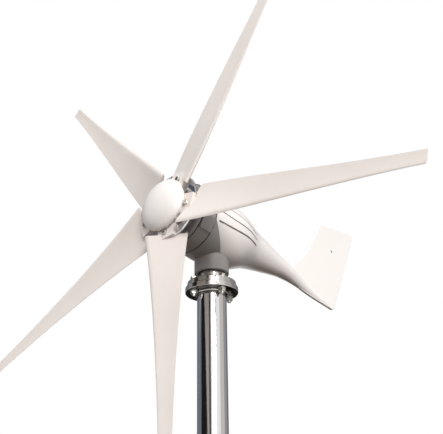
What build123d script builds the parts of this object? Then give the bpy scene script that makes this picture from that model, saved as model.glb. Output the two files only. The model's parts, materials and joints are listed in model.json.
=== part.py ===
from build123d import *
import os
from math import cos, radians, sin, tan

# Horizontal-axis wind turbine: a five-blade rotor and a direct-drive generator on a
# yawing nacelle, bolted to the flange of a steel mast.
# Millimetres, +Z up, nose towards -Y. The origin is the centre of the mast's lower end.

# ---- mast and its flange ----
mast_length = 560.0            # lower end to the underside of the mast flange
mast_diameter = 63.5
mast_wall = 2.5
mast_flange_diameter = 114.0
mast_flange_thickness = 12.0
weld_leg = 3.5
tube_setback = 2.0             # the tube stops this far below the flange's top face
spigot_step = 0.75             # the tube is turned down this much where it enters the flange
flange_bolt_circle = 87.0
flange_bolt_count = 4
flange_bolt_diameter = 8.0
flange_bolt_angle = -17.0
bolt_hole_play = 0.5           # radial, in every bolt hole

# ---- yaw shaft and its bearings (35 x 62 x 14) ----
yaw_flange_diameter = 105.0
yaw_flange_thickness = 12.0
yaw_collar_radius = 27.0
yaw_collar_height = 22.0
yaw_shoulder_radius = 21.0
yaw_shoulder_height = 4.0
yaw_bore_radius = 7.0
yaw_bearing_bore = 35.0
yaw_bearing_outer = 62.0
yaw_bearing_width = 14.0
yaw_bearing_spread = 16.0      # gap between the two yaw bearings
yaw_bearing_balls = 9
yaw_ball_radius = 4.35
lock_nut_radius = 24.0
lock_nut_height = 7.0
slip_ring_count = 3
slip_ring_radius = 14.5
slip_ring_height = 4.0
slip_ring_pitch = 6.0
slip_sleeve_radius = 12.0
slip_spigot_radius = 10.0

# ---- rotor axis ----
axis_rise = 146.0              # above the underside of the mast flange, at the yaw axis
axis_tilt = 5.0                # nose up, degrees

# ---- nacelle ----
neck_radius = 37.5
neck_gap = 21.0                # between the yaw flange and the neck
casting_radius = 74.0
bell_radius = 70.5             # the casting where the tail shells cover it
bell_back = -44.0              # stations are measured along the rotor axis from the yaw axis
generator_back = 60.0
generator_length = 37.0
generator_radius = 73.0
generator_wall = 9.0
pad_proud = 2.6
pad_angle = -27.5
pad_width = 31.0
pad_count = 4
seam_chamfer = 1.1
through_bolt_circle = 135.0
through_bolt_count = 6
through_bolt_diameter = 5.0
cover_thickness = 9.0

# ---- generator ----
core_back = 46.0
core_length = 34.0
core_bore_radius = 48.0
slot_count = 18
slot_width = 7.0
slot_depth = 11.0
winding_overhang = 7.0
air_gap = 1.2
magnet_count = 12
magnet_thickness = 4.8
magnet_arc = 24.0
rim_thickness = 8.0

# ---- rotor shaft and its bearings ----
front_bearing_back = 96.0
front_bearing_bore = 25.0
front_bearing_outer = 52.0
front_bearing_width = 15.0
rear_bearing_back = 20.0
rear_bearing_bore = 20.0
rear_bearing_outer = 47.0
rear_bearing_width = 14.0
rotor_ball_radius = 3.95
rotor_bearing_balls = 9
shaft_thread_radius = 8.0

# ---- hub, nose and blades ----
rotor_station = 127.7          # back face of the hub disc
hub_disc_radius = 80.0
hub_disc_thickness = 6.0
hub_boss_radius = 22.0
clamp_radius = 54.0
clamp_thickness = 6.5
nose_radius = 59.0
nose_height = 27.0
nose_wall = 3.0
nose_screw_diameter = 4.0
blade_count = 5
first_blade_angle = -11.9
rotor_radius = 609.0
tongue_width = 45.0
tongue_thickness = 8.0
tongue_start = 26.0
blade_bolt_diameter = 6.0
inner_bolt_radius = 38.0
outer_bolt_radius = 64.0

# ---- tail ----
cowl_radius = 75.0
cowl_wall = 3.0
fin_thickness = 8.0
fin_edge_radius = 2.5
slit_widths = (3.8, 3.2, 2.4)
shell_seat_width = 9.0
shell_screw_diameter = 4.0
shell_screw_grip = 5.5
fin_screw_diameter = 4.0

# ---- clearances ----
running_gap = 0.05             # radial, balls to races
seal_gap = 0.15                # seals to what turns inside them
shell_seat_play = 0.3          # between the tail shells and their seats on the casting
seam_gap = 0.6                 # between the tail shells and the casting
neighbour_gap = 0.5            # between neighbouring blade tongues
contact_play = 0.02            # thread or shank to the piece it is screwed into


# ---- places that follow from the sizes above ----
flange_z = mast_length
yaw_flange_z = flange_z + mast_flange_thickness
yaw_flange_top = yaw_flange_z + yaw_flange_thickness
collar_top = yaw_flange_top + yaw_collar_height
lower_bearing_z = collar_top + yaw_shoulder_height
spacer_z = lower_bearing_z + yaw_bearing_width
upper_bearing_z = spacer_z + yaw_bearing_spread
lock_nut_z = upper_bearing_z + yaw_bearing_width
slip_base_z = lock_nut_z + lock_nut_height
slip_top_z = slip_base_z + slip_ring_count * slip_ring_pitch + 3
neck_bottom_z = yaw_flange_top + neck_gap
axis_z = flange_z + axis_rise

generator_front = generator_back + generator_length
core_radius = generator_radius - generator_wall
core_front = core_back + core_length
magnet_radius = core_bore_radius - air_gap
rim_radius = magnet_radius - magnet_thickness
front_bearing_front = front_bearing_back + front_bearing_width
rear_bearing_front = rear_bearing_back + rear_bearing_width
disc_front = rotor_station + hub_disc_thickness
tongue_front = disc_front + tongue_thickness
clamp_front = tongue_front + clamp_thickness
blade_axis_station = disc_front + tongue_thickness / 2
sector = 360 / blade_count


# ---- directions and planes ----
tilt = radians(axis_tilt)
nose_direction = Vector(0, -cos(tilt), sin(tilt))
lift_direction = Vector(0, sin(tilt), cos(tilt))
side_direction = Vector(1, 0, 0)


def on_axis(station):
    """The point on the rotor axis at a station, counted from the yaw axis."""
    return Vector(0, 0, axis_z) + nose_direction * station


def across(station, angle=0.0):
    """A plane square to the rotor axis, facing the nose, its x turned up by angle."""
    turn = radians(angle)
    x_dir = side_direction * cos(turn) + lift_direction * sin(turn)
    return Plane(origin=on_axis(station), x_dir=x_dir, z_dir=nose_direction)


def facing_back(station):
    """A plane square to the rotor axis, facing away from the nose."""
    return Plane(origin=on_axis(station), x_dir=side_direction, z_dir=nose_direction * -1)


rotor_axis = Axis(on_axis(0), nose_direction)
rotor_profile = Plane(origin=on_axis(0), x_dir=side_direction, z_dir=lift_direction * -1)
side_view = Plane(origin=(0, 0, 0), x_dir=(0, 1, 0), z_dir=(1, 0, 0))


def finish(part, label):
    part.label = label
    export_step(part, f"parts/{label}.step")


def turned_yaw(*points):
    """A piece turned about the yaw axis, from (radius, height) corners."""
    with BuildPart() as turned:
        with BuildSketch(Plane.XZ):
            with BuildLine():
                Polyline(*points, close=True)
            make_face()
        revolve(axis=Axis.Z)
    return turned.part


def turned_rotor(*points):
    """A piece turned about the rotor axis, from (radius, station) corners."""
    with BuildPart() as turned:
        with BuildSketch(rotor_profile):
            with BuildLine():
                Polyline(*points, close=True)
            make_face()
        revolve(axis=rotor_axis)
    return turned.part


def race(plane, axis, inner, outer, start, width, pitch, ball):
    """One bearing race with the ball groove turned into it."""
    with BuildPart() as ring:
        with BuildSketch(plane):
            with BuildLine():
                Polyline((inner, start), (outer, start), (outer, start + width),
                         (inner, start + width), close=True)
            make_face()
            with Locations((pitch, start + width / 2)):
                Circle(ball + running_gap, mode=Mode.SUBTRACT)
        revolve(axis=axis)
        chamfer(ring.edges().filter_by(GeomType.CIRCLE).sort_by(SortBy.RADIUS)[-2:], 0.5)
    return ring.part


def bearing(name, profile, axis, centre_plane, bore, outer, start, width, ball, balls):
    """A deep-groove bearing: inner race, outer race and its set of balls."""
    pitch = (bore + outer) / 4
    land = ball * 0.55
    inner_race = race(profile, axis, bore / 2, pitch - land, start, width, pitch, ball)
    outer_race = race(profile, axis, pitch + land, outer / 2, start, width, pitch, ball)
    with BuildPart() as ball_set:
        with Locations(centre_plane):
            with PolarLocations(pitch, balls):
                Sphere(ball)
    finish(inner_race, f"{name}_inner_race")
    finish(outer_race, f"{name}_outer_race")
    finish(ball_set.part, f"{name}_balls")


def hex_bolts(plane, circle_radius, count, start, diameter, shank, head_width, head_height):
    """Hexagon bolts on a circle: each head stands on the plane and its shank runs below."""
    with BuildPart() as bolts:
        with BuildSketch(plane):
            with PolarLocations(circle_radius, count, start):
                RegularPolygon(head_width / 2, 6, major_radius=False, rotation=30)
        extrude(amount=head_height)
        chamfer(bolts.faces().sort_by(Axis(plane.origin, plane.z_dir))[-count:].edges(), 0.5)
        with BuildSketch(plane):
            with PolarLocations(circle_radius, count, start):
                Circle(diameter / 2)
        extrude(amount=-shank)
    return bolts.part


def hex_nuts(plane, circle_radius, count, start, diameter, width, height):
    """Hexagon nuts on a circle, standing on the plane."""
    with BuildPart() as nuts:
        with BuildSketch(plane):
            with PolarLocations(circle_radius, count, start):
                RegularPolygon(width / 2, 6, major_radius=False, rotation=30)
                Circle(diameter / 2 + contact_play, mode=Mode.SUBTRACT)
        extrude(amount=height)
    return nuts.part


def washers(plane, circle_radius, count, start, diameter, outer, thickness):
    """Flat washers on a circle, lying on the plane."""
    with BuildPart() as rings:
        with BuildSketch(plane):
            with PolarLocations(circle_radius, count, start):
                Circle(outer / 2)
                Circle(diameter / 2 + bolt_hole_play, mode=Mode.SUBTRACT)
        extrude(amount=thickness)
    return rings.part


def grouped(*pieces):
    """Separate solids that share one node."""
    with BuildPart() as group:
        add(pieces)
    return group.part


os.makedirs("parts", exist_ok=True)

# ==== mast ====
tube_top = yaw_flange_z - tube_setback
tube_radius = mast_diameter / 2
tube_bore = tube_radius - mast_wall
spigot_radius = tube_radius - spigot_step
spigot_z = flange_z - weld_leg
mast_tube = turned_yaw((tube_bore, 0), (tube_radius, 0), (tube_radius, spigot_z),
                       (spigot_radius, spigot_z), (spigot_radius, tube_top),
                       (tube_bore, tube_top))
finish(mast_tube, "mast_tube")

with BuildPart() as mast_flange:
    with BuildSketch(Plane.XY.offset(flange_z)):
        Circle(mast_flange_diameter / 2)
        Circle(spigot_radius, mode=Mode.SUBTRACT)
        with PolarLocations(flange_bolt_circle / 2, flange_bolt_count, flange_bolt_angle):
            Circle(flange_bolt_diameter / 2 + bolt_hole_play, mode=Mode.SUBTRACT)
    extrude(amount=mast_flange_thickness)
    rim = mast_flange.edges().filter_by(GeomType.CIRCLE).sort_by(SortBy.RADIUS)[-2:]
    fillet(rim, 1.6)
finish(mast_flange.part, "mast_flange")

mast_weld = turned_yaw((spigot_radius, spigot_z), (tube_radius, spigot_z),
                       (tube_radius + weld_leg, flange_z), (spigot_radius, flange_z))
finish(mast_weld, "mast_weld_bead")

# ==== yaw shaft: flange, collar, bearing seat and slip-ring spigot in one piece ====
seat_radius = yaw_bearing_bore / 2
with BuildPart() as yaw_shaft:
    with BuildSketch(Plane.XZ):
        with BuildLine():
            Polyline(
                (yaw_bore_radius, yaw_flange_z),
                (yaw_flange_diameter / 2, yaw_flange_z),
                (yaw_flange_diameter / 2, yaw_flange_top),
                (yaw_collar_radius, yaw_flange_top),
                (yaw_collar_radius, collar_top),
                (yaw_shoulder_radius, collar_top),
                (yaw_shoulder_radius, lower_bearing_z),
                (seat_radius, lower_bearing_z),
                (seat_radius, slip_base_z),
                (slip_spigot_radius, slip_base_z),
                (slip_spigot_radius, slip_top_z),
                (yaw_bore_radius, slip_top_z),
                close=True,
            )
        make_face()
    revolve(axis=Axis.Z)
    foot = yaw_shaft.edges().filter_by(GeomType.CIRCLE).group_by(Axis.Z)[1:3]
    foot_edge = [edge for group in foot for edge in group
                 if abs(edge.radius - yaw_collar_radius) < 0.01
                 and abs(edge.center().Z - yaw_flange_top) < 0.01]
    fillet(foot_edge, 3)
    rim = yaw_shaft.edges().filter_by(GeomType.CIRCLE).sort_by(SortBy.RADIUS)[-2:]
    fillet(rim, 1.6)
    with BuildSketch(Plane.XY.offset(yaw_flange_z)):
        with PolarLocations(flange_bolt_circle / 2, flange_bolt_count, flange_bolt_angle):
            Circle(flange_bolt_diameter / 2 + bolt_hole_play)
    extrude(amount=yaw_flange_thickness, mode=Mode.SUBTRACT)
finish(yaw_shaft.part, "yaw_shaft")

washer_thickness = 1.6
washer_diameter = 16.0
wrench_size = 13.0
flange_head_height = 5.3
flange_nut_height = 6.8
flange_grip = mast_flange_thickness + yaw_flange_thickness + 2 * washer_thickness
bolt_top_plane = Plane.XY.offset(yaw_flange_top + washer_thickness)
bolt_circle_radius = flange_bolt_circle / 2
flange_bolts = hex_bolts(bolt_top_plane, bolt_circle_radius, flange_bolt_count,
                         flange_bolt_angle, flange_bolt_diameter,
                         flange_grip + flange_nut_height + 4, wrench_size, flange_head_height)
finish(flange_bolts, "flange_bolts")
nut_plane = Plane.XY.offset(flange_z - washer_thickness - flange_nut_height)
flange_nuts = hex_nuts(nut_plane, bolt_circle_radius, flange_bolt_count, flange_bolt_angle,
                       flange_bolt_diameter, wrench_size, flange_nut_height)
finish(flange_nuts, "flange_nuts")
upper_washers = washers(Plane.XY.offset(yaw_flange_top), bolt_circle_radius, flange_bolt_count,
                        flange_bolt_angle, flange_bolt_diameter, washer_diameter,
                        washer_thickness)
lower_washers = washers(Plane.XY.offset(flange_z - washer_thickness), bolt_circle_radius,
                        flange_bolt_count, flange_bolt_angle, flange_bolt_diameter,
                        washer_diameter, washer_thickness)
finish(grouped(upper_washers, lower_washers), "flange_washers")

# ==== yaw bearings, spacer, seal, lock nut ====
for bearing_name, bearing_z in (("yaw_lower", lower_bearing_z), ("yaw_upper", upper_bearing_z)):
    bearing(bearing_name, Plane.XZ, Axis.Z, Plane.XY.offset(bearing_z + yaw_bearing_width / 2),
            yaw_bearing_bore, yaw_bearing_outer, bearing_z, yaw_bearing_width,
            yaw_ball_radius, yaw_bearing_balls)

yaw_spacer = turned_yaw((seat_radius, spacer_z), (yaw_shoulder_radius, spacer_z),
                        (yaw_shoulder_radius, upper_bearing_z), (seat_radius, upper_bearing_z))
finish(yaw_spacer, "yaw_bearing_spacer")

neck_bore = yaw_bearing_outer / 2
seal_z = neck_bottom_z + 0.5
seal_top = lower_bearing_z - 0.5
yaw_seal = turned_yaw((yaw_collar_radius + seal_gap, seal_z), (neck_bore, seal_z),
                      (neck_bore, seal_top), (yaw_collar_radius + 2, seal_top),
                      (yaw_collar_radius + 2, seal_z + 1), (yaw_collar_radius + seal_gap, seal_z + 1))
finish(yaw_seal, "yaw_seal")

circlip_thickness = 1.5
circlip_depth = 1.5
with BuildPart() as yaw_circlip:
    with BuildSketch(Plane.XY.offset(lock_nut_z)):
        Circle(neck_bore + circlip_depth)
        Circle(neck_bore - 3, mode=Mode.SUBTRACT)
        with Locations((0, -neck_bore)):
            Rectangle(14, 12, mode=Mode.SUBTRACT)
    extrude(amount=circlip_thickness)
finish(yaw_circlip.part, "yaw_circlip")

with BuildPart() as lock_nut:
    with BuildSketch(Plane.XY.offset(lock_nut_z)):
        Circle(lock_nut_radius)
        Circle(seat_radius, mode=Mode.SUBTRACT)
        with PolarLocations(lock_nut_radius, 4):
            Rectangle(5, 6, mode=Mode.SUBTRACT)
    extrude(amount=lock_nut_height)
finish(lock_nut.part, "yaw_lock_nut")

slip_sleeve = turned_yaw((slip_spigot_radius, slip_base_z), (slip_sleeve_radius, slip_base_z),
                         (slip_sleeve_radius, slip_top_z), (slip_spigot_radius, slip_top_z))
finish(slip_sleeve, "slip_ring_sleeve")

first_ring_z = slip_base_z + 2
with BuildPart() as slip_rings:
    for index in range(slip_ring_count):
        with BuildSketch(Plane.XY.offset(first_ring_z + index * slip_ring_pitch)):
            Circle(slip_ring_radius)
            Circle(slip_sleeve_radius, mode=Mode.SUBTRACT)
        extrude(amount=slip_ring_height)
finish(slip_rings.part, "slip_rings")

# ==== nacelle casting ====
# In side view the dark casting shows in front of and below the edge of the tail shells.
shell_edge = [(-62, 134), (-50, 117), (-33, 99), (-11, 81), (12, 64)]
shell_edge = [(y, flange_z + z) for y, z in shell_edge]
below_edge = [(12, flange_z), (-120, flange_z), (-120, flange_z + 134)]


def below_shell_edge(shift):
    """The block in front of and below the shell edge in side view, moved forward by shift."""
    with BuildPart() as block:
        with BuildSketch(side_view.offset(-2 * casting_radius)):
            with BuildLine():
                edge = Spline([(y - shift * 0.7, z - shift * 0.7) for y, z in shell_edge])
                Polyline(edge @ 1, *below_edge, edge @ 0)
            make_face()
        extrude(amount=4 * casting_radius)
    return block.part


with BuildPart() as saddle:
    with BuildSketch(rotor_profile):
        with BuildLine():
            Polyline((bell_radius - 3, generator_back - 52),
                     (casting_radius, generator_back - 52),
                     (casting_radius, generator_back - seam_chamfer),
                     (casting_radius - seam_chamfer, generator_back),
                     (bell_radius - 3, generator_back), close=True)
        make_face()
    revolve(axis=rotor_axis)
    add(below_shell_edge(seam_gap), mode=Mode.INTERSECT)



def radial(station, angle, radius):
    """A plane facing straight out from the rotor axis."""
    outward = across(station, angle).x_dir
    return Plane(origin=on_axis(station) + outward * radius, z_dir=outward)


shell_seat_stations = (30.0, -8.0)
shell_screw_places = [radial(shell_seat_stations[0], angle, cowl_radius + contact_play)
                      for angle in (34.0, 78.0, 102.0, 146.0)]
bell_floor = bell_back + 6
web_back = rear_bearing_back + 3
web_front = web_back + 8
boss_radius = rear_bearing_outer / 2 + 7
access_radius = 34.0
access_circle = access_radius + 5
access_screw_diameter = 4.0
cavity_top_z = slip_top_z + 2
with BuildPart() as nacelle_casting:
    with BuildSketch(rotor_profile):
        with BuildLine():
            Polyline((0, bell_back), (44, bell_back), (60, bell_back + 9),
                     (bell_radius, bell_back + 28), (bell_radius, generator_back),
                     (0, generator_back), close=True)
        make_face()
    revolve(axis=rotor_axis)
    with BuildSketch(Plane.XY.offset(neck_bottom_z)):
        Circle(neck_radius)
    extrude(amount=axis_z - neck_bottom_z)
    add(saddle.part)
    with BuildSketch(rotor_profile):
        with BuildLine():
            Polyline((0, bell_floor), (38, bell_floor), (54, bell_floor + 7),
                     (core_radius, bell_back + 30), (core_radius, generator_back),
                     (0, generator_back), close=True)
        make_face()
    revolve(axis=rotor_axis, mode=Mode.SUBTRACT)
    with BuildSketch(rotor_profile):
        with BuildLine():
            Polyline((rear_bearing_outer / 2 - 3, rear_bearing_back - 2),
                     (boss_radius, rear_bearing_back - 2), (boss_radius, web_back),
                     (core_radius + 1, web_back), (core_radius + 1, web_front),
                     (boss_radius, web_front), (boss_radius, rear_bearing_front + 2),
                     (rear_bearing_outer / 2, rear_bearing_front + 2),
                     (rear_bearing_outer / 2, rear_bearing_back),
                     (rear_bearing_outer / 2 - 3, rear_bearing_back), close=True)
        make_face()
    revolve(axis=rotor_axis)
    for seat_station in shell_seat_stations:
        with BuildSketch(across(seat_station - shell_seat_width / 2)):
            Circle(cowl_radius - cowl_wall - shell_seat_play)
            Circle(core_radius + 1, mode=Mode.SUBTRACT)
        extrude(amount=shell_seat_width)
    for place in shell_screw_places:
        with BuildSketch(place):
            Circle(shell_screw_diameter / 2 + contact_play)
        extrude(amount=-cowl_wall - shell_screw_grip, mode=Mode.SUBTRACT)
    with BuildSketch(Plane.XY.offset(neck_bottom_z)):
        Circle(neck_bore)
    extrude(amount=spacer_z - neck_bottom_z, mode=Mode.SUBTRACT)
    with BuildSketch(Plane.XY.offset(spacer_z)):
        Circle(neck_bore - 2.5)
    extrude(amount=yaw_bearing_spread, mode=Mode.SUBTRACT)
    with BuildSketch(Plane.XY.offset(upper_bearing_z)):
        Circle(neck_bore)
    extrude(amount=cavity_top_z - upper_bearing_z - 12, mode=Mode.SUBTRACT)
    with BuildSketch(Plane.XY.offset(lock_nut_z)):
        Circle(neck_bore + circlip_depth)
    extrude(amount=circlip_thickness, mode=Mode.SUBTRACT)
    with BuildSketch(across(bell_back)):
        Circle(access_radius)
    extrude(amount=6, mode=Mode.SUBTRACT)
    with BuildSketch(across(generator_back)):
        with PolarLocations(through_bolt_circle / 2, through_bolt_count):
            Circle(through_bolt_diameter / 2 + contact_play)
    extrude(amount=-16, mode=Mode.SUBTRACT)
    with BuildSketch(across(bell_back)):
        with PolarLocations(access_circle, 4, 45):
            Circle(access_screw_diameter / 2 + contact_play)
    extrude(amount=6, mode=Mode.SUBTRACT)
finish(nacelle_casting.part, "nacelle_casting")

# ==== rear access cover, which carries the brushes ====
rear_cover_thickness = 4.0
brush_block_width = 16.0
with BuildPart() as rear_cover:
    with BuildSketch(across(bell_back)):
        Circle(access_radius + 9.5)
        with PolarLocations(access_circle, 4, 45):
            Circle(access_screw_diameter / 2 + bolt_hole_play, mode=Mode.SUBTRACT)
    extrude(amount=-rear_cover_thickness)
finish(rear_cover.part, "rear_access_cover")

rear_cover_screws = hex_bolts(facing_back(bell_back - rear_cover_thickness),
                              access_circle, 4, 45, access_screw_diameter,
                              rear_cover_thickness + 5, 7, 2.8)
finish(rear_cover_screws, "rear_cover_screws")

ring_faces = [first_ring_z + index * slip_ring_pitch for index in range(slip_ring_count)]
brush_height = slip_ring_height - 1
brush_z = [z + 0.5 for z in ring_faces]
block_front = slip_ring_radius + 2.5
block_back = block_front + 9
block_foot = ring_faces[0] - 2
arm_bottom = slip_top_z - 8
with BuildPart() as brush_block:
    with BuildSketch(side_view):
        with BuildLine():
            Polyline((block_front, block_foot), (block_front, slip_top_z + 1),
                     (60, slip_top_z + 1), (60, arm_bottom), (block_back, arm_bottom),
                     (block_back, block_foot), close=True)
        make_face()
    extrude(amount=brush_block_width / 2, both=True)
    split(bisect_by=across(bell_back), keep=Keep.TOP)
    for z in brush_z:
        with BuildSketch(Plane.XZ.offset(-block_front)):
            with Locations((0, z + brush_height / 2)):
                Rectangle(6, brush_height)
        extrude(amount=-8, mode=Mode.SUBTRACT)
finish(brush_block.part, "brush_block")

with BuildPart() as brushes:
    for z in brush_z:
        with BuildSketch(Plane.XZ.offset(-slip_ring_radius - seal_gap)):
            with Locations((0, z + brush_height / 2)):
                Rectangle(6, brush_height)
        extrude(amount=-8)
finish(brushes.part, "brushes")

# ==== generator housing ring with its four flat pads ====
with BuildPart() as generator_ring:
    with BuildSketch(rotor_profile):
        with BuildLine():
            Polyline((core_radius, generator_back),
                     (generator_radius - seam_chamfer, generator_back),
                     (generator_radius, generator_back + seam_chamfer),
                     (generator_radius, generator_front - seam_chamfer),
                     (generator_radius - seam_chamfer, generator_front),
                     (core_radius, generator_front), close=True)
        make_face()
    revolve(axis=rotor_axis)
    with BuildSketch(across(generator_back + seam_chamfer + 0.8)):
        with PolarLocations(generator_radius - 2, pad_count, pad_angle):
            Rectangle(4 + 2 * pad_proud, pad_width)
    extrude(amount=generator_length - 2 * seam_chamfer - 1.6)
    with BuildSketch(across(generator_back)):
        with PolarLocations(through_bolt_circle / 2, through_bolt_count):
            Circle(through_bolt_diameter / 2 + bolt_hole_play)
    extrude(amount=generator_length, mode=Mode.SUBTRACT)
finish(generator_ring.part, "generator_ring")

# ==== front cover with the front bearing seat ====
front_outer = front_bearing_outer / 2
cover_front = generator_front + cover_thickness
seal_radius = front_outer + 2
boss_front = front_bearing_front + 8
with BuildPart() as front_cover:
    with BuildSketch(rotor_profile):
        with BuildLine():
            Polyline((generator_radius - seam_chamfer, generator_front),
                     (generator_radius, generator_front + seam_chamfer),
                     (generator_radius, cover_front - 2), (generator_radius - 2, cover_front),
                     (60, cover_front), (46, cover_front + 5), (34, cover_front + 7),
                     (34, boss_front), (seal_radius, boss_front),
                     (seal_radius, front_bearing_front + 1), (front_outer - 1.5, front_bearing_front + 1),
                     (front_outer - 1.5, front_bearing_front), (front_outer, front_bearing_front),
                     (front_outer, front_bearing_back - 1), (front_outer + 6, front_bearing_back - 1),
                     (front_outer + 6, generator_front + 7), (46, generator_front + 6),
                     (60, generator_front), close=True)
        make_face()
    revolve(axis=rotor_axis)
    with BuildSketch(across(generator_front)):
        with PolarLocations(through_bolt_circle / 2, through_bolt_count):
            Circle(through_bolt_diameter / 2 + bolt_hole_play)
    extrude(amount=cover_thickness, mode=Mode.SUBTRACT)
finish(front_cover.part, "front_cover")

through_bolts = hex_bolts(across(cover_front), through_bolt_circle / 2, through_bolt_count, 0,
                          through_bolt_diameter, cover_thickness + generator_length + 14, 8, 3.5)
finish(through_bolts, "generator_through_bolts")

shaft_seal = turned_rotor((hub_boss_radius + seal_gap, front_bearing_front + 1.6),
                          (seal_radius, front_bearing_front + 1.6), (seal_radius, boss_front),
                          (hub_boss_radius + seal_gap, boss_front))
finish(shaft_seal, "front_shaft_seal")

# ==== stator ====
with BuildPart() as stator_core:
    with BuildSketch(across(core_back)):
        Circle(core_radius)
        Circle(core_bore_radius, mode=Mode.SUBTRACT)
        with PolarLocations(core_bore_radius + slot_depth / 2, slot_count):
            Rectangle(slot_depth + 1, slot_width, mode=Mode.SUBTRACT)
    extrude(amount=core_length)
finish(stator_core.part, "stator_core")

coil_inner = core_bore_radius + 1.5
coil_outer = core_bore_radius + slot_depth - 0.3
with BuildPart() as windings:
    with BuildSketch(across(core_back - winding_overhang)):
        with PolarLocations((coil_inner + coil_outer) / 2, slot_count):
            Rectangle(coil_outer - coil_inner, slot_width - 0.6)
    extrude(amount=core_length + 2 * winding_overhang)
    for end_station in (core_back - winding_overhang, core_front + 0.5):
        with BuildSketch(across(end_station)):
            Circle(coil_outer)
            Circle(coil_inner, mode=Mode.SUBTRACT)
        extrude(amount=winding_overhang - 0.5)
finish(windings.part, "stator_windings")

# ==== rotor bearings ====
bearing("rotor_front", rotor_profile, rotor_axis,
        across(front_bearing_back + front_bearing_width / 2), front_bearing_bore,
        front_bearing_outer, front_bearing_back, front_bearing_width, rotor_ball_radius,
        rotor_bearing_balls)
bearing("rotor_rear", rotor_profile, rotor_axis,
        across(rear_bearing_back + rear_bearing_width / 2), rear_bearing_bore,
        rear_bearing_outer, rear_bearing_back, rear_bearing_width, rotor_ball_radius - 0.4,
        rotor_bearing_balls - 1)

# ==== rotor shaft, magnet rotor, spacer ====
shaft_radius = front_bearing_bore / 2
tail_shaft_radius = rear_bearing_bore / 2
hub_shaft_radius = shaft_radius - 1.5
collar_front = rear_bearing_front + 4
washer_front = disc_front + 2.5
hub_nut_height = 12.8
shaft_end = washer_front + hub_nut_height + 3
rotor_shaft = turned_rotor(
    (0, rear_bearing_back - 4), (tail_shaft_radius, rear_bearing_back - 4),
    (tail_shaft_radius, rear_bearing_front), (shaft_radius + 2.5, rear_bearing_front),
    (shaft_radius + 2.5, collar_front), (shaft_radius, collar_front),
    (shaft_radius, front_bearing_front), (hub_shaft_radius, front_bearing_front),
    (hub_shaft_radius, disc_front), (shaft_thread_radius, disc_front),
    (shaft_thread_radius, shaft_end), (0, shaft_end))
finish(rotor_shaft, "rotor_shaft")

rim_back = core_back - 2
rim_front = core_front + 2
hub_front = front_bearing_back - 12
rim_inner = rim_radius - rim_thickness
magnet_hub = turned_rotor(
    (shaft_radius, collar_front), (20, collar_front), (20, 58), (rim_inner, 58),
    (rim_inner, rim_back), (rim_radius, rim_back), (rim_radius, rim_front),
    (rim_inner, rim_front), (rim_inner, 66), (20, 66), (20, hub_front),
    (shaft_radius, hub_front))
finish(magnet_hub, "magnet_hub")

bearing_spacer = turned_rotor((shaft_radius, hub_front), (shaft_radius + 3.5, hub_front),
                              (shaft_radius + 3.5, front_bearing_back),
                              (shaft_radius, front_bearing_back))
finish(bearing_spacer, "rotor_bearing_spacer")

magnet_width = 2 * magnet_radius * sin(radians(magnet_arc / 2))
with BuildPart() as magnets:
    with BuildSketch(across(core_back)):
        Circle(magnet_radius)
        Circle(rim_radius, mode=Mode.SUBTRACT)
        with PolarLocations((rim_radius + magnet_radius) / 2, magnet_count):
            Rectangle(4 * magnet_thickness, magnet_width, mode=Mode.INTERSECT)
    extrude(amount=core_length)
finish(magnets.part, "rotor_magnets")

# ==== hub disc ====
bolt_radii = (inner_bolt_radius, outer_bolt_radius)
blade_bolt_hole = blade_bolt_diameter / 2 + bolt_hole_play
with BuildPart() as hub_disc:
    with BuildSketch(rotor_profile):
        with BuildLine():
            Polyline((hub_shaft_radius, front_bearing_front), (16, front_bearing_front),
                     (16, front_bearing_front + 1.6), (hub_boss_radius, front_bearing_front + 1.6),
                     (hub_boss_radius, rotor_station - 3), (hub_boss_radius + 3, rotor_station),
                     (hub_disc_radius, rotor_station), (hub_disc_radius, disc_front),
                     (hub_shaft_radius, disc_front), close=True)
        make_face()
    revolve(axis=rotor_axis)
    rim = hub_disc.edges().filter_by(GeomType.CIRCLE).sort_by(SortBy.RADIUS)[-2:]
    fillet(rim, 1.5)
    with BuildSketch(across(rotor_station)):
        for bolt_radius in bolt_radii:
            with PolarLocations(bolt_radius, blade_count, first_blade_angle):
                Circle(blade_bolt_hole)
    extrude(amount=hub_disc_thickness, mode=Mode.SUBTRACT)
finish(hub_disc.part, "hub_disc")

hub_washer = turned_rotor((shaft_thread_radius + 0.2, disc_front), (19, disc_front),
                          (19, washer_front), (shaft_thread_radius + 0.2, washer_front))
finish(hub_washer, "hub_washer")
hub_nut = hex_nuts(across(washer_front), 0, 1, 0, 2 * shaft_thread_radius, 24, hub_nut_height)
finish(hub_nut, "hub_nut")

# ==== blades ====
# Each blade is flat where it is bolted, then twists and tapers towards its tip.
profile_start = 50.0
profile_count = 12
root_chord = 105.0
tip_chord = 27.0
root_pitch = 18.0
tip_pitch = 0.4
front_curve = [(-0.46, 0.022), (-0.33, 0.024), (-0.05, 0.004), (0.25, -0.004)]
back_curve = [(0.25, -0.040), (-0.05, -0.068), (-0.30, -0.066), (-0.46, -0.030)]
trailing_edge = 0.012
root_leading = (58.0, -51.0)   # where the shoulder ends at the leading edge: radius, offset
root_trailing = (80.0, 49.0)
half_tongue = tongue_width / 2
tongue_inner = tongue_start * tan(radians(sector / 2)) - neighbour_gap
tongue_full = (half_tongue + neighbour_gap) / tan(radians(sector / 2))


def section_point(chord, pitch, along_chord, off_chord):
    """A point of the blade profile, turned to its pitch: leading edge at -x, front at +y."""
    turn = radians(pitch)
    x, y = chord * along_chord, chord * off_chord
    return (x * cos(turn) + y * sin(turn), -x * sin(turn) + y * cos(turn))


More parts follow.
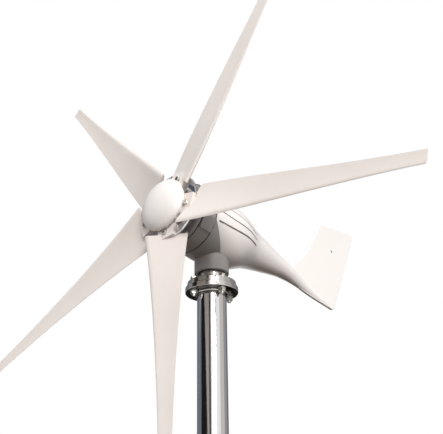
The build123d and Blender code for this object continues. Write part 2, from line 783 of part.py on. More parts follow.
with BuildPart() as blade:
    for index in range(profile_count):
        outward = index / (profile_count - 1)
        radius = profile_start + (rotor_radius - profile_start) * outward
        chord = tip_chord + (root_chord - tip_chord) * (1 - outward) ** 1.45
        pitch = tip_pitch + (root_pitch - tip_pitch) * (1 - outward) ** 3
        centre = on_axis(blade_axis_station) + side_direction * radius
        with BuildSketch(Plane(origin=centre, x_dir=lift_direction, z_dir=side_direction)):
            with BuildLine():
                nose_point = section_point(chord, pitch, -0.5, 0)
                tail_front = section_point(chord, pitch, 0.5, 0)
                tail_back = section_point(chord, pitch, 0.5, -trailing_edge)
                Spline(nose_point, *[section_point(chord, pitch, *p) for p in front_curve],
                       tail_front)
                Line(tail_front, tail_back)
                Spline(tail_back, *[section_point(chord, pitch, *p) for p in back_curve],
                       nose_point)
            make_face()
    loft()
    slope = (root_trailing[0] - root_leading[0]) / (root_trailing[1] - root_leading[1])
    reach = 80
    with BuildSketch(across(blade_axis_station)):
        with BuildLine():
            Polyline((20, -reach), (root_leading[0] + slope * (-reach - root_leading[1]), -reach),
                     (root_leading[0] + slope * (reach - root_leading[1]), reach), (20, reach),
                     close=True)
        make_face()
    extrude(amount=60, both=True, mode=Mode.SUBTRACT)
    with BuildSketch(across(disc_front)):
        Circle(hub_disc_radius + 1)
    extrude(amount=-40, mode=Mode.SUBTRACT)
    with BuildSketch(across(disc_front)):
        with BuildLine():
            Polyline((tongue_start, -tongue_inner), (tongue_full, -half_tongue),
                     (78, -half_tongue), (78, half_tongue), (tongue_full, half_tongue),
                     (tongue_start, tongue_inner), close=True)
        make_face()
    extrude(amount=tongue_thickness)
    twist_ends = ((78, 0, 0), (108, 13, -3))
    for radius, pitch, drop in twist_ends:
        centre = on_axis(blade_axis_station) + side_direction * radius + nose_direction * drop
        end_plane = Plane(origin=centre, x_dir=lift_direction, z_dir=side_direction)
        with BuildSketch(end_plane):
            Rectangle(tongue_width, tongue_thickness if pitch == 0 else 3, rotation=-pitch)
    loft()
    with BuildSketch(across(disc_front)):
        with Locations(*[(bolt_radius, 0) for bolt_radius in bolt_radii]):
            Circle(blade_bolt_hole)
    extrude(amount=tongue_thickness, mode=Mode.SUBTRACT)

for index in range(blade_count):
    turned_blade = blade.part.rotate(rotor_axis, first_blade_angle + index * sector)
    finish(turned_blade, f"blade_{index + 1}")

# ==== clamp plate and blade bolts ====
nose_screw_station = tongue_front + clamp_thickness / 2
with BuildPart() as clamp_plate:
    with BuildSketch(across(tongue_front)):
        Circle(clamp_radius)
        Circle(22, mode=Mode.SUBTRACT)
        with PolarLocations(inner_bolt_radius, blade_count, first_blade_angle):
            Circle(blade_bolt_hole, mode=Mode.SUBTRACT)
    extrude(amount=clamp_thickness)
    for index in range(blade_count):
        between = first_blade_angle + (index + 0.5) * sector
        with BuildSketch(radial(nose_screw_station, between, clamp_radius)):
            Circle(nose_screw_diameter / 2 + contact_play)
        extrude(amount=-12, mode=Mode.SUBTRACT)
finish(clamp_plate.part, "blade_clamp_plate")

blade_washer = 1.2
blade_head = 4.0
blade_nut = 5.0
bolt_places = ((inner_bolt_radius, clamp_front, "inner"), (outer_bolt_radius, tongue_front, "outer"))
blade_washers = []
blade_nuts = []
for bolt_radius, seat, place in bolt_places:
    shank = seat + blade_washer - rotor_station + blade_nut + 3
    bolts = hex_bolts(across(seat + blade_washer), bolt_radius, blade_count, first_blade_angle,
                      blade_bolt_diameter, shank, 10, blade_head)
    finish(bolts, f"{place}_blade_bolts")
    blade_washers.append(washers(across(seat), bolt_radius, blade_count, first_blade_angle,
                                 blade_bolt_diameter, 12, blade_washer))
    blade_nuts.append(hex_nuts(across(rotor_station - blade_nut), bolt_radius, blade_count,
                               first_blade_angle, blade_bolt_diameter, 10, blade_nut))
finish(grouped(*blade_washers), "blade_washers")
finish(grouped(*blade_nuts), "blade_nuts")

# ==== nose cone: a domed shell whose skirt slides over the clamp plate ====
skirt_radius = clamp_radius + nose_wall
skirt_end = tongue_front + 0.5
dome_steps = 8


def dome(radius, height):
    """Points of a quarter ellipse from the rim on the clamp plate's front to the tip."""
    turns = [radians(90 * step / dome_steps) for step in range(dome_steps)]
    return [(radius * cos(turn), clamp_front + height * sin(turn)) for turn in turns] + [
        (0, clamp_front + height)]


with BuildPart() as nose_cone:
    with BuildSketch(rotor_profile):
        with BuildLine():
            ends = ((0, 1), (-1, 0))
            outside = Spline(dome(nose_radius, nose_height), tangents=ends)
            inside = Spline(dome(clamp_radius, nose_height - nose_wall), tangents=ends)
            Line(outside @ 1, inside @ 1)
            Polyline(inside @ 0, (clamp_radius, skirt_end), (skirt_radius, skirt_end),
                     (skirt_radius, clamp_front), outside @ 0)
        make_face()
    revolve(axis=rotor_axis)
    for index in range(blade_count):
        between = first_blade_angle + (index + 0.5) * sector
        with BuildSketch(radial(nose_screw_station, between, clamp_radius - 1)):
            Circle(nose_screw_diameter / 2 + contact_play)
        extrude(amount=nose_wall + 2, mode=Mode.SUBTRACT)
finish(nose_cone.part, "nose_cone")

with BuildPart() as nose_screws:
    for index in range(blade_count):
        between = first_blade_angle + (index + 0.5) * sector
        with BuildSketch(radial(nose_screw_station, between, skirt_radius)):
            Circle(2.9)
        extrude(amount=1.8)
        with BuildSketch(radial(nose_screw_station, between, skirt_radius)):
            Circle(nose_screw_diameter / 2)
        extrude(amount=-nose_wall - 10)
finish(nose_screws.part, "nose_screws")

# ==== tail: two moulded shells that meet on the centre plane ====
# y, half width, half height, height of the centre above the flange
boom_sections = [(45, 72, 72, 143.7), (75, 63.5, 63.5, 144), (105, 52, 52, 143.5),
                 (150, 41.3, 41.3, 141), (200, 31, 31, 136), (250, 22.7, 22.7, 130.7),
                 (300, 15.5, 19, 122), (350, 9.5, 13.5, 106.5), (400, 6, 9.5, 93.5),
                 (438, 4.6, 6.5, 85.5)]
front_stations = (66, 40, 14, -12)
slits = [
    [(-53, 131.5), (-35, 131), (-3, 128.5), (32, 127), (60, 126), (92, 125)],
    [(-53, 156), (-35, 154.5), (-5, 150), (30, 146), (52, 143.5), (92, 138)],
    [(-53, 178), (-30, 176), (-5, 172.5), (18, 169), (40, 163.5), (91, 151)],
]


def boom(wall):
    """The tail's outer form, or with a wall its hollow."""
    with BuildPart() as form:
        for station in front_stations:
            with BuildSketch(across(station)):
                Circle(cowl_radius - wall)
        for y, half_width, half_height, centre in boom_sections:
            if wall == 0 or half_width > 3 * wall:
                origin = (0, y, flange_z + centre)
                with BuildSketch(Plane(origin=origin, x_dir=(1, 0, 0), z_dir=(0, -1, 0))):
                    Ellipse(half_width - wall, half_height - wall)
        loft()
    return form.part


with BuildPart() as fin:
    with BuildSketch(side_view.offset(-fin_thickness / 2)) as fin_outline:
        with BuildLine():
            lead = Spline([(y, flange_z + z) for y, z in
                           ((262, 138), (313, 168), (346, 197), (391, 254), (420, 298))])
            top_front = (430, flange_z + 312)
            top_back = (594, flange_z + 333)
            bottom_back = (461, flange_z + 75)
            Polyline(lead @ 1, top_front, top_back, bottom_back)
            sole = Spline([bottom_back, (397, flange_z + 84), (330, flange_z + 96),
                           (262, flange_z + 120)])
            Line(sole @ 1, lead @ 0)
        make_face()
        fillet(fin_outline.vertices().filter_by(lambda corner: corner.X > 425), 12)
    extrude(amount=fin_thickness)
    rim = [edge for edge in fin.edges() if edge.center().Y > 280
           and abs(abs(edge.center().X) - fin_thickness / 2) < 0.01]
    fillet(rim, fin_edge_radius)

fin_screw_place = (472, flange_z + 245)
with BuildPart() as tail_form:
    add(boom(0))
    add(fin.part)
    add(boom(cowl_wall), mode=Mode.SUBTRACT)
    with BuildSketch(across(generator_back - seam_gap)):
        Rectangle(400, 400)
    extrude(amount=60, mode=Mode.SUBTRACT)
    add(below_shell_edge(0), mode=Mode.SUBTRACT)
    with BuildSketch(Plane.XY.offset(flange_z)):
        Circle(neck_radius + seam_gap)
    extrude(amount=110, mode=Mode.SUBTRACT)
    for slit, width in zip(slits, slit_widths):
        with BuildSketch(side_view):
            with BuildLine():
                Spline([(y, flange_z + z) for y, z in slit])
            trace(line_width=width)
        extrude(amount=2 * cowl_radius, both=True, mode=Mode.SUBTRACT)
    with BuildSketch(side_view):
        with Locations(fin_screw_place):
            Circle(fin_screw_diameter / 2 + 0.25)
    extrude(amount=fin_thickness, both=True, mode=Mode.SUBTRACT)
    for place in shell_screw_places:
        with BuildSketch(place):
            Circle(shell_screw_diameter / 2 + 0.25)
        extrude(amount=-cowl_wall - 2, mode=Mode.SUBTRACT)

left_shell = tail_form.part.split(Plane.YZ, keep=Keep.TOP)
right_shell = tail_form.part.split(Plane.YZ, keep=Keep.BOTTOM)
finish(left_shell, "tail_shell_left")
finish(right_shell, "tail_shell_right")

with BuildPart() as shell_screws:
    for place in shell_screw_places:
        with BuildSketch(place):
            Circle(3.8)
        extrude(amount=2)
        with BuildSketch(place):
            Circle(shell_screw_diameter / 2)
        extrude(amount=-cowl_wall - shell_screw_grip)
finish(shell_screws.part, "tail_shell_screws")

with BuildPart() as fin_screw:
    with BuildSketch(side_view.offset(fin_thickness / 2)):
        with Locations(fin_screw_place):
            Circle(3.6)
    extrude(amount=1.8)
    fillet(fin_screw.edges().sort_by(Axis.X)[-1], 1.2)
    with BuildSketch(side_view.offset(fin_thickness / 2)):
        with Locations(fin_screw_place):
            Circle(fin_screw_diameter / 2)
    extrude(amount=-fin_thickness - 4.5)
finish(fin_screw.part, "tail_fin_screw")

with BuildPart() as fin_nut:
    with BuildSketch(side_view.offset(-fin_thickness / 2 - 3.2)):
        with Locations(fin_screw_place):
            RegularPolygon(3.5, 6, major_radius=False)
            Circle(fin_screw_diameter / 2 + contact_play, mode=Mode.SUBTRACT)
    extrude(amount=3.2)
finish(fin_nut.part, "tail_fin_nut")
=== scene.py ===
import json
from math import cos, pi, radians, sin

import bmesh
import bpy
from mathutils import Matrix, Vector


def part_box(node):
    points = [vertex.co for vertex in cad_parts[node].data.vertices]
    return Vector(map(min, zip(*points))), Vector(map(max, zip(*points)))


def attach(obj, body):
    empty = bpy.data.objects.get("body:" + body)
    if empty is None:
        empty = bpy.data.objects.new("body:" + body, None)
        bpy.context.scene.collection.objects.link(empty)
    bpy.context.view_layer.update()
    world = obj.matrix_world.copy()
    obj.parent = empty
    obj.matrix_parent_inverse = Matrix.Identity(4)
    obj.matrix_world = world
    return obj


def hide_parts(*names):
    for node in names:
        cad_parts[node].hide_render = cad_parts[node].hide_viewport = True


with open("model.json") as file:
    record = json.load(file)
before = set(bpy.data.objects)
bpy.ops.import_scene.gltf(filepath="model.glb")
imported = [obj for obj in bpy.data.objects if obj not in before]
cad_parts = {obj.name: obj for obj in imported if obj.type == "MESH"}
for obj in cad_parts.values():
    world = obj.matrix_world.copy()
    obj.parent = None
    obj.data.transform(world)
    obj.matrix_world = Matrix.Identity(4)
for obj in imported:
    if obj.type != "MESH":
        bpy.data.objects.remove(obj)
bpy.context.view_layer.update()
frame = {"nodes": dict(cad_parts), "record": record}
nodes = frame["nodes"]
print("frame loaded:", len(nodes), "pieces")

# the rotor axis, which several pieces are turned about
rotorTilt = radians(5)
noseWay = Vector((0, -cos(rotorTilt), sin(rotorTilt)))
liftWay = Vector((0, sin(rotorTilt), cos(rotorTilt)))
sideWay = Vector((1, 0, 0))
axisCrossing = Vector((0, 0, 0.706))


def rotorPlace(station):
    # z towards the nose, x across, at that distance ahead of the mast axis
    turn = Matrix((sideWay, liftWay, noseWay)).transposed().to_4x4()
    return Matrix.Translation(axisCrossing + noseWay * station) @ turn


# camera, sky, light and floor

cameraSet = {"target": (0, 0, 0.560), "azimuth": 0.73373, "elevation": -0.45747,
             "roll": -0.01503, "distance": 1.597, "right": 0.0233, "up": 0.1645, "lens": 60.49,
             "sensor": 36, "nearest": 0.05, "farthest": 2000}


def viewAxes(azimuth, elevation):
    back = Vector((sin(azimuth) * cos(elevation), -cos(azimuth) * cos(elevation), sin(elevation)))
    right = Vector((cos(azimuth), sin(azimuth), 0))
    return right, back.cross(right), back


def addCamera(look):
    right, up, back = viewAxes(look["azimuth"], look["elevation"])
    place = (Vector(look["target"]) + back * look["distance"]
             + right * look["right"] + up * look["up"])
    rolledRight = right * cos(look["roll"]) + up * sin(look["roll"])
    rolledUp = up * cos(look["roll"]) - right * sin(look["roll"])
    data = bpy.data.cameras.new("camera")
    data.lens = look["lens"]
    data.sensor_width = look["sensor"]
    data.sensor_fit = "HORIZONTAL"
    data.clip_start = look["nearest"]
    data.clip_end = look["farthest"]
    camera = bpy.data.objects.new("camera", data)
    turn = Matrix((rolledRight, rolledUp, back)).transposed().to_4x4()
    camera.matrix_world = Matrix.Translation(place) @ turn
    bpy.context.scene.collection.objects.link(camera)
    bpy.context.scene.camera = camera


addCamera(cameraSet)
bpy.context.scene.view_settings.view_transform = "Standard"
bpy.context.scene.view_settings.look = "None"

skySet = {"sky": (1.0, 1.0, 1.0, 1), "ground": (0.13, 0.105, 0.09, 1), "strength": 1.0,
          "horizonLow": 0.455, "horizonHigh": 0.495}


def addSky(look):
    world = bpy.data.worlds.new("sky")
    bpy.context.scene.world = world
    world.use_nodes = True
    tree = world.node_tree
    background = tree.nodes["Background"]
    coords = tree.nodes.new("ShaderNodeTexCoord")
    split = tree.nodes.new("ShaderNodeSeparateXYZ")
    level = tree.nodes.new("ShaderNodeMapRange")
    ramp = tree.nodes.new("ShaderNodeValToRGB")
    level.inputs["From Min"].default_value = -1
    ramp.color_ramp.elements[0].position = look["horizonLow"]
    ramp.color_ramp.elements[0].color = look["ground"]
    ramp.color_ramp.elements[1].position = look["horizonHigh"]
    ramp.color_ramp.elements[1].color = look["sky"]
    background.inputs["Strength"].default_value = look["strength"]
    tree.links.new(coords.outputs["Generated"], split.inputs[0])
    tree.links.new(split.outputs["Z"], level.inputs["Value"])
    tree.links.new(level.outputs[0], ramp.inputs["Fac"])
    tree.links.new(ramp.outputs["Color"], background.inputs["Color"])


addSky(skySet)

sunSet = {"towards": (0.79, -0.51, 0.30), "strength": 2.3, "softness": radians(24),
          "colour": (1.0, 0.975, 0.955)}


def addSun(look):
    data = bpy.data.lights.new("keyLight", "SUN")
    data.energy = look["strength"]
    data.angle = look["softness"]
    data.color = look["colour"]
    lamp = bpy.data.objects.new("keyLight", data)
    lamp.rotation_euler = Vector(look["towards"]).to_track_quat("Z", "Y").to_euler()
    bpy.context.scene.collection.objects.link(lamp)


addSun(sunSet)

mergeDistance = 1e-6  # metres; points closer than this become one


def pieceFrom(bm, name, material, smooth=True):
    mesh = bpy.data.meshes.new(name)
    bm.to_mesh(mesh)
    bm.free()
    piece = bpy.data.objects.new(name, mesh)
    bpy.context.scene.collection.objects.link(piece)
    mesh.materials.append(material)
    if smooth:
        mesh.shade_smooth()
    return piece


def spinRound(bm, geom, steps):
    bmesh.ops.spin(bm, geom=geom, cent=(0, 0, 0), axis=(0, 0, 1), angle=2 * pi,
                   steps=steps, use_merge=True)
    bmesh.ops.remove_doubles(bm, verts=bm.verts, dist=mergeDistance)


def addHoop(bm, look):
    # a ring of round section about z
    bmesh.ops.create_circle(bm, segments=look["sides"], radius=look["section"])
    bmesh.ops.rotate(bm, verts=bm.verts, cent=(0, 0, 0), matrix=Matrix.Rotation(pi / 2, 3, "X"))
    bmesh.ops.translate(bm, verts=bm.verts, vec=(look["radius"], 0, 0))
    spinRound(bm, bm.verts[:] + bm.edges[:], look["steps"])


floorSet = {"half": 400, "height": -1.3, "colour": (0.80, 0.79, 0.77, 1), "roughness": 0.9}


def addFloor(look):
    bm = bmesh.new()
    bmesh.ops.create_grid(bm, x_segments=1, y_segments=1, size=look["half"])
    bmesh.ops.translate(bm, vec=(0, 0, look["height"]), verts=bm.verts)
    paint = bpy.data.materials.new("floorPaint")
    paint.use_nodes = True
    shader = paint.node_tree.nodes["Principled BSDF"]
    shader.inputs["Base Color"].default_value = look["colour"]
    shader.inputs["Roughness"].default_value = look["roughness"]
    floor = pieceFrom(bm, "floor", paint, smooth=False)
    floor.visible_diffuse = False


addFloor(floorSet)

# dark and tinted screens stand round the set, so the polished steel has something to show;
# angles are degrees from the camera's side of the mast towards the camera's right
screenSet = {"distance": 4.0, "bottom": -0.9, "top": 7.5, "steps": 24}
screens = [
    {"name": "slateScreen", "from": -168, "to": -89, "colour": (0.17, 0.19, 0.22)},
    {"name": "blackScreen", "from": -89, "to": -49, "colour": (0.008, 0.008, 0.010)},
    {"name": "brownScreen", "from": -49, "to": -10, "colour": (0.038, 0.031, 0.026)},
    {"name": "thinScreen", "from": 20, "to": 25, "colour": (0.20, 0.18, 0.17)},
    {"name": "creamScreen", "from": 60, "to": 92, "colour": (0.66, 0.63, 0.61)},
    {"name": "duskScreen", "from": 92, "to": 130, "colour": (0.36, 0.35, 0.37)},
    {"name": "nightScreen", "from": 130, "to": 168, "colour": (0.16, 0.16, 0.20)},
]


def hangScreen(bm, screen):
    cloth = bpy.data.materials.new(screen["name"])
    cloth.use_nodes = True
    shader = cloth.node_tree.nodes["Principled BSDF"]
    shader.inputs["Base Color"].default_value = (0, 0, 0, 1)
    shader.inputs["Specular IOR Level"].default_value = 0
    shader.inputs["Emission Color"].default_value = (*screen["colour"], 1)
    shader.inputs["Emission Strength"].default_value = 1
    panel = pieceFrom(bm, screen["name"], cloth)
    panel.visible_camera = False
    panel.visible_diffuse = False
    panel.visible_shadow = False
    panel.visible_transmission = False


def addScreen(screen, shared):
    bm = bmesh.new()
    start = cameraSet["azimuth"] - pi / 2 + radians(screen["from"])
    foot = Vector((cos(start), sin(start), 0)) * shared["distance"]
    low = bm.verts.new(foot + Vector((0, 0, shared["bottom"])))
    high = bm.verts.new(foot + Vector((0, 0, shared["top"])))
    edge = bm.edges.new((low, high))
    bmesh.ops.spin(bm, geom=[low, high, edge], cent=(0, 0, 0), axis=(0, 0, 1),
                   angle=radians(screen["to"] - screen["from"]), steps=shared["steps"])
    hangScreen(bm, screen)


for screen in screens:
    addScreen(screen, screenSet)

# and a dark cloth lies on the ground behind the mast, for the undersides to reflect
groundCloth = {"name": "groundCloth", "radius": 2.9, "height": -0.9, "behind": 3.3,
               "sides": 64, "colour": (0.014, 0.011, 0.010)}
clothDisc = bmesh.new()
bmesh.ops.create_circle(clothDisc, cap_ends=True, segments=groundCloth["sides"],
                        radius=groundCloth["radius"])
clothPlace = viewAxes(cameraSet["azimuth"], 0)[2] * -groundCloth["behind"]
clothPlace.z = groundCloth["height"]
bmesh.ops.translate(clothDisc, vec=clothPlace, verts=clothDisc.verts)
hangScreen(clothDisc, groundCloth)
print("camera, light, floor and screens are up")

# finishes: each has a base colour that drifts, an uneven gloss and its own grain


def mixColours(tree, share, first, second):
    mixer = tree.nodes.new("ShaderNodeMix")
    mixer.data_type = "RGBA"
    tree.links.new(share, mixer.inputs[0])
    for socket, value in ((mixer.inputs[6], first), (mixer.inputs[7], second)):
        if isinstance(value, tuple):
            socket.default_value = (*value, 1)
        else:
            tree.links.new(value, socket)
    return mixer.outputs[2]


noiseSet = {"patchDetail": 3.0, "glossDetail": 4.0, "grainDetail": 2.0, "roughness": 0.55,
            "low": 0.3, "high": 0.7}


def noiseOn(tree, coords, look, kind):
    mapping = tree.nodes.new("ShaderNodeMapping")
    mapping.inputs["Scale"].default_value = look.get(kind + "Stretch", (1, 1, 1))
    noise = tree.nodes.new("ShaderNodeTexNoise")
    noise.inputs["Scale"].default_value = look[kind + "Scale"]
    noise.inputs["Detail"].default_value = noiseSet[kind + "Detail"]
    noise.inputs["Roughness"].default_value = noiseSet["roughness"]
    tree.links.new(coords.outputs["Object"], mapping.inputs["Vector"])
    tree.links.new(mapping.outputs[0], noise.inputs["Vector"])
    return noise.outputs["Fac"]


def spread(tree, value, low, high, fromLow=noiseSet["low"], fromHigh=noiseSet["high"]):
    ranged = tree.nodes.new("ShaderNodeMapRange")
    ranged.inputs["From Min"].default_value = fromLow
    ranged.inputs["From Max"].default_value = fromHigh
    ranged.inputs["To Min"].default_value = low
    ranged.inputs["To Max"].default_value = high
    tree.links.new(value, ranged.inputs["Value"])
    return ranged.outputs[0]


def makeFinish(name, look):
    material = bpy.data.materials.new(name)
    material.use_nodes = True
    tree = material.node_tree
    shader = tree.nodes["Principled BSDF"]
    coords = tree.nodes.new("ShaderNodeTexCoord")
    patches = noiseOn(tree, coords, look, "patch")
    colour = mixColours(tree, spread(tree, patches, 0, 1), look["colour"], look["otherColour"])
    if "speckle" in look:
        dots = tree.nodes.new("ShaderNodeTexVoronoi")
        dots.inputs["Scale"].default_value = look["speckleScale"]
        tree.links.new(coords.outputs["Object"], dots.inputs["Vector"])
        share = spread(tree, dots.outputs["Distance"], look["speckleShare"], 0,
                       0, look["speckleSize"])
        colour = mixColours(tree, share, colour, look["speckle"])
    if "underside" in look:  # painted shade: faces that look down are darkened towards a near-black colour that stands in for shade and dark reflection
        split = tree.nodes.new("ShaderNodeSeparateXYZ")
        tree.links.new(coords.outputs["Normal"], split.inputs[0])
        share = spread(tree, split.outputs["Z"], 1, 0, *look["undersideFacing"])
        colour = mixColours(tree, share, colour, look["underside"])
    tree.links.new(colour, shader.inputs["Base Color"])
    gloss = noiseOn(tree, coords, look, "gloss")
    tree.links.new(spread(tree, gloss, *look["roughness"]), shader.inputs["Roughness"])
    grain = noiseOn(tree, coords, look, "grain")
    bump = tree.nodes.new("ShaderNodeBump")
    bump.inputs["Strength"].default_value = look["grainStrength"]
    bump.inputs["Distance"].default_value = look["grainDepth"]
    tree.links.new(grain, bump.inputs["Height"])
    tree.links.new(bump.outputs[0], shader.inputs["Normal"])
    shader.inputs["Metallic"].default_value = look.get("metallic", 0)
    shader.inputs["Coat Weight"].default_value = look.get("coat", 0)
    shader.inputs["Coat Roughness"].default_value = look.get("coatRoughness", 0.1)
    shader.inputs["Specular IOR Level"].default_value = look.get("specular", 0.5)
    return material


finishSets = {
    "polishedMast": {"slots": ["mast_steel"], "metallic": 1,
                     "colour": (0.80, 0.79, 0.785), "otherColour": (0.70, 0.69, 0.69),
                     "patchScale": 5, "patchStretch": (1, 1, 0.25),
                     "roughness": (0.06, 0.13), "glossScale": 40, "glossStretch": (1, 1, 0.06),
                     "grainScale": 900, "grainStretch": (1, 1, 0.02),
                     "grainStrength": 0.10, "grainDepth": 0.0002},
    "polishedFlange": {"slots": ["flange_steel"], "metallic": 1,
                       "colour": (0.72, 0.70, 0.68), "otherColour": (0.56, 0.54, 0.52),
                       # painted shade: the flange's down-facing faces take this near-black colour
                       # in place of shade and dark reflection
                       "underside": (0.055, 0.046, 0.042), "undersideFacing": (-0.95, -0.70),
                       "patchScale": 22, "roughness": (0.12, 0.24), "glossScale": 60,
                       "glossStretch": (1, 1, 3), "grainScale": 700,
                       "grainStretch": (1, 1, 6), "grainStrength": 0.12, "grainDepth": 0.0002},
    "turnedHub": {"slots": ["hub_steel"], "metallic": 1,
                  "colour": (0.74, 0.74, 0.76), "otherColour": (0.60, 0.60, 0.62),
                  "patchScale": 14, "roughness": (0.07, 0.16), "glossScale": 50,
                  "grainScale": 650, "grainStretch": (1, 4, 1),
                  "grainStrength": 0.10, "grainDepth": 0.0002},
    "darkCasting": {"slots": ["cast_aluminium"], "metallic": 0,
                    "colour": (0.365, 0.343, 0.334), "otherColour": (0.295, 0.276, 0.268),
                    "patchScale": 16, "roughness": (0.38, 0.58), "glossScale": 120,
                    "grainScale": 950, "grainStrength": 0.35, "grainDepth": 0.0004,
                    "speckle": (0.44, 0.42, 0.41), "speckleScale": 900, "speckleSize": 0.14,
                    "speckleShare": 0.85, "specular": 0.6},
    "mouldedBlade": {"slots": ["blade_nylon"], "metallic": 0,
                     "colour": (0.812, 0.757, 0.717), "otherColour": (0.767, 0.712, 0.674),
                     "patchScale": 7, "roughness": (0.40, 0.55), "glossScale": 30,
                     "grainScale": 700, "grainStrength": 0.10, "grainDepth": 0.0002,
                     "specular": 0.45},
    "glossShell": {"slots": ["shell_plastic"], "metallic": 0,
                   "colour": (0.905, 0.872, 0.848), "otherColour": (0.893, 0.859, 0.834),
                   "patchScale": 6, "roughness": (0.285, 0.36), "glossScale": 14,
                   "grainScale": 55, "grainStrength": 0.03, "grainDepth": 0.0006,
                   "coat": 0.35, "coatRoughness": 0.14},
    "brightZinc": {"slots": ["fastener_zinc"], "metallic": 1,
                   "colour": (0.66, 0.665, 0.68), "otherColour": (0.60, 0.57, 0.47),
                   "patchScale": 160, "roughness": (0.24, 0.42), "glossScale": 300,
                   "grainScale": 1500, "grainStrength": 0.15, "grainDepth": 0.0002},
    "groundBearing": {"slots": ["bearing_steel"], "metallic": 1,
                      "colour": (0.72, 0.72, 0.74), "otherColour": (0.62, 0.62, 0.63),
                      "patchScale": 80, "roughness": (0.10, 0.20), "glossScale": 200,
                      "grainScale": 1200, "grainStrength": 0.08, "grainDepth": 0.0001},
    "turnedSteel": {"slots": ["shaft_steel"], "metallic": 1,
                    "colour": (0.50, 0.50, 0.51), "otherColour": (0.40, 0.39, 0.38),
                    "patchScale": 60, "roughness": (0.26, 0.42), "glossScale": 220,
                    "grainScale": 900, "grainStretch": (1, 5, 1),
                    "grainStrength": 0.2, "grainDepth": 0.0002},
    "enamelledCopper": {"slots": ["copper"], "metallic": 1,
                        "colour": (0.62, 0.26, 0.12), "otherColour": (0.42, 0.15, 0.07),
                        "patchScale": 90, "roughness": (0.22, 0.38), "glossScale": 150,
                        "grainScale": 500, "grainStretch": (1, 8, 1),
                        "grainStrength": 0.6, "grainDepth": 0.0006},
    "turnedBrass": {"slots": ["slip_brass"], "metallic": 1,
                    "colour": (0.74, 0.55, 0.26), "otherColour": (0.60, 0.42, 0.19),
                    "patchScale": 70, "roughness": (0.20, 0.34), "glossScale": 200,
                    "grainScale": 900, "grainStretch": (1, 1, 8),
                    "grainStrength": 0.2, "grainDepth": 0.0002},
    "platedMagnet": {"slots": ["magnet"], "metallic": 1,
                     "colour": (0.46, 0.46, 0.47), "otherColour": (0.38, 0.38, 0.38),
                     "patchScale": 120, "roughness": (0.25, 0.40), "glossScale": 260,
                     "grainScale": 1100, "grainStrength": 0.15, "grainDepth": 0.0002},
    "stackedSteel": {"slots": ["lamination"], "metallic": 1,
                     "colour": (0.24, 0.24, 0.25), "otherColour": (0.16, 0.15, 0.15),
                     "patchScale": 60, "roughness": (0.40, 0.60), "glossScale": 300,
                     "grainScale": 300, "grainStretch": (0.05, 9, 0.05),
                     "grainStrength": 0.7, "grainDepth": 0.0005},
    "softRubber": {"slots": ["rubber"], "metallic": 0,
                   "colour": (0.018, 0.018, 0.019), "otherColour": (0.034, 0.033, 0.032),
                   "patchScale": 40, "roughness": (0.55, 0.75), "glossScale": 160,
                   "grainScale": 1500, "grainStrength": 0.3, "grainDepth": 0.0002},
    "mouldedInsulator": {"slots": ["insulator"], "metallic": 0,
                         "colour": (0.10, 0.075, 0.05), "otherColour": (0.07, 0.05, 0.035),
                         "patchScale": 60, "roughness": (0.35, 0.5), "glossScale": 180,
                         "grainScale": 1100, "grainStrength": 0.2, "grainDepth": 0.0002},
    "pressedCarbon": {"slots": ["carbon"], "metallic": 0,
                      "colour": (0.045, 0.045, 0.047), "otherColour": (0.07, 0.07, 0.072),
                      "patchScale": 200, "roughness": (0.45, 0.65), "glossScale": 400,
                      "grainScale": 2000, "grainStrength": 0.4, "grainDepth": 0.0002},
}

finishes = {name: makeFinish(name, look) for name, look in finishSets.items()}
finishOfSlot = {slot: finishes[name] for name, look in finishSets.items()
                for slot in look["slots"]}
slotOfNode = {entry["node"]: entry["material_slot"] for entry in frame["record"]["subparts"]}
for name, node in nodes.items():
    node.data.materials.clear()
    node.data.materials.append(finishOfSlot[slotOfNode[name]])
print("finishes made:", len(finishes))

# bead that joins the mast tube to its flange: a row of overlapping weld ripples

beadSet = {"radius": 0.0330, "section": 0.0026, "ripples": 46, "rippleDepth": 0.00035,
           "steps": 368, "sides": 14, "wander": 0.0003, "wanders": 5, "drop": 0.0012}


def makeBead(look):
    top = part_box("mast_weld_bead")[1].z
    bm = bmesh.new()
    addHoop(bm, look)
    for vert in bm.verts:
        around = Vector((vert.co.x, vert.co.y, 0))
        middle = around.normalized() * look["radius"]
        out = vert.co - middle
        share = (Vector((1, 0)).angle_signed(Vector((around.x, around.y))) / (2 * pi)) % 1
        wave = (share * look["ripples"]) % 1
        swell = look["rippleDepth"] * (1 - wave) + look["wander"] * sin(
            share * 2 * pi * look["wanders"])
        vert.co = middle + out * (1 + swell / look["section"])
    bmesh.ops.translate(bm, verts=bm.verts, vec=(0, 0, top - look["drop"]))
    bmesh.ops.recalc_face_normals(bm, faces=bm.faces)
    bead = pieceFrom(bm, "weldBead", finishes["polishedFlange"])
    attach(bead, "mast")
    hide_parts("mast_weld_bead")


makeBead(beadSet)
print("weld bead done")

# moulded nose shell: a dome on a straight skirt that fits round the clamp plate

noseSet = {"domeRadius": 0.0590, "domeHeight": 0.0270, "skirtRadius": 0.0570, "wall": 0.0030,
           "lip": 0.0008, "stepsRound": 160, "stepsUp": 28, "sharpFrom": radians(50)}


def domeArc(radius, height, seat, steps):
    turns = [pi / 2 * step / steps for step in range(steps + 1)]
    return [Vector((radius * cos(turn), 0, seat + height * sin(turn))) for turn in turns]


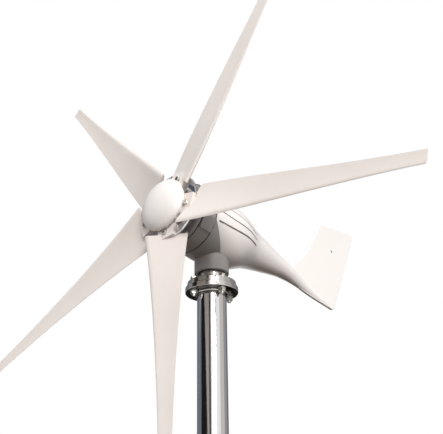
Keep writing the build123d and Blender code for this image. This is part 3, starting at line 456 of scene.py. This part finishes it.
def makeNose(look):
    # the CAD cone gives the skirt's end and, less the dome's height, the dome's foot
    alongRotor = rotorPlace(0).inverted()
    corners = [alongRotor @ vert.co for vert in nodes["nose_cone"].data.vertices]
    skirtEnd = min(corner.z for corner in corners)
    domeFoot = max(corner.z for corner in corners) - look["domeHeight"]
    inner = look["skirtRadius"] - look["wall"]
    outline = domeArc(look["domeRadius"], look["domeHeight"], domeFoot, look["stepsUp"])[::-1]
    outline += [Vector((look["domeRadius"] - look["lip"], 0, domeFoot - look["lip"])),
                Vector((look["skirtRadius"], 0, domeFoot - look["lip"])),
                Vector((look["skirtRadius"], 0, skirtEnd + look["lip"])),
                Vector((look["skirtRadius"] - look["lip"], 0, skirtEnd)),
                Vector((inner, 0, skirtEnd))]
    outline += domeArc(inner, look["domeHeight"] - look["wall"], domeFoot, look["stepsUp"])
    bm = bmesh.new()
    rim = [bm.verts.new(point) for point in outline]
    edges = [bm.edges.new(pair) for pair in zip(rim, rim[1:])]
    spinRound(bm, rim + edges, look["stepsRound"])
    bmesh.ops.recalc_face_normals(bm, faces=bm.faces)
    bmesh.ops.transform(bm, matrix=rotorPlace(0), verts=bm.verts)
    nose = pieceFrom(bm, "noseShell", finishes["glossShell"])
    nose.data.set_sharp_from_angle(angle=look["sharpFrom"])
    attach(nose, "rotor")
    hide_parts("nose_cone")


makeNose(noseSet)
print("nose shell done")

# rubber gaskets squeezed in the seams of the generator housing and its rear cover

gasketShape = {"sides": 12, "steps": 144}
gasketSets = [
    {"name": "rearRingGasket", "station": 0.0600, "radius": 0.0731, "section": 0.0010},
    {"name": "frontRingGasket", "station": 0.0970, "radius": 0.0731, "section": 0.0010},
    {"name": "rearCoverGasket", "station": -0.0441, "radius": 0.0434, "section": 0.0009},
]


def makeGasket(look):
    bm = bmesh.new()
    addHoop(bm, look | gasketShape)
    bmesh.ops.transform(bm, matrix=rotorPlace(look["station"]), verts=bm.verts)
    bmesh.ops.recalc_face_normals(bm, faces=bm.faces)
    gasket = pieceFrom(bm, look["name"], finishes["softRubber"])
    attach(gasket, "nacelle")


for gasketSet in gasketSets:
    makeGasket(gasketSet)
print("gaskets done")
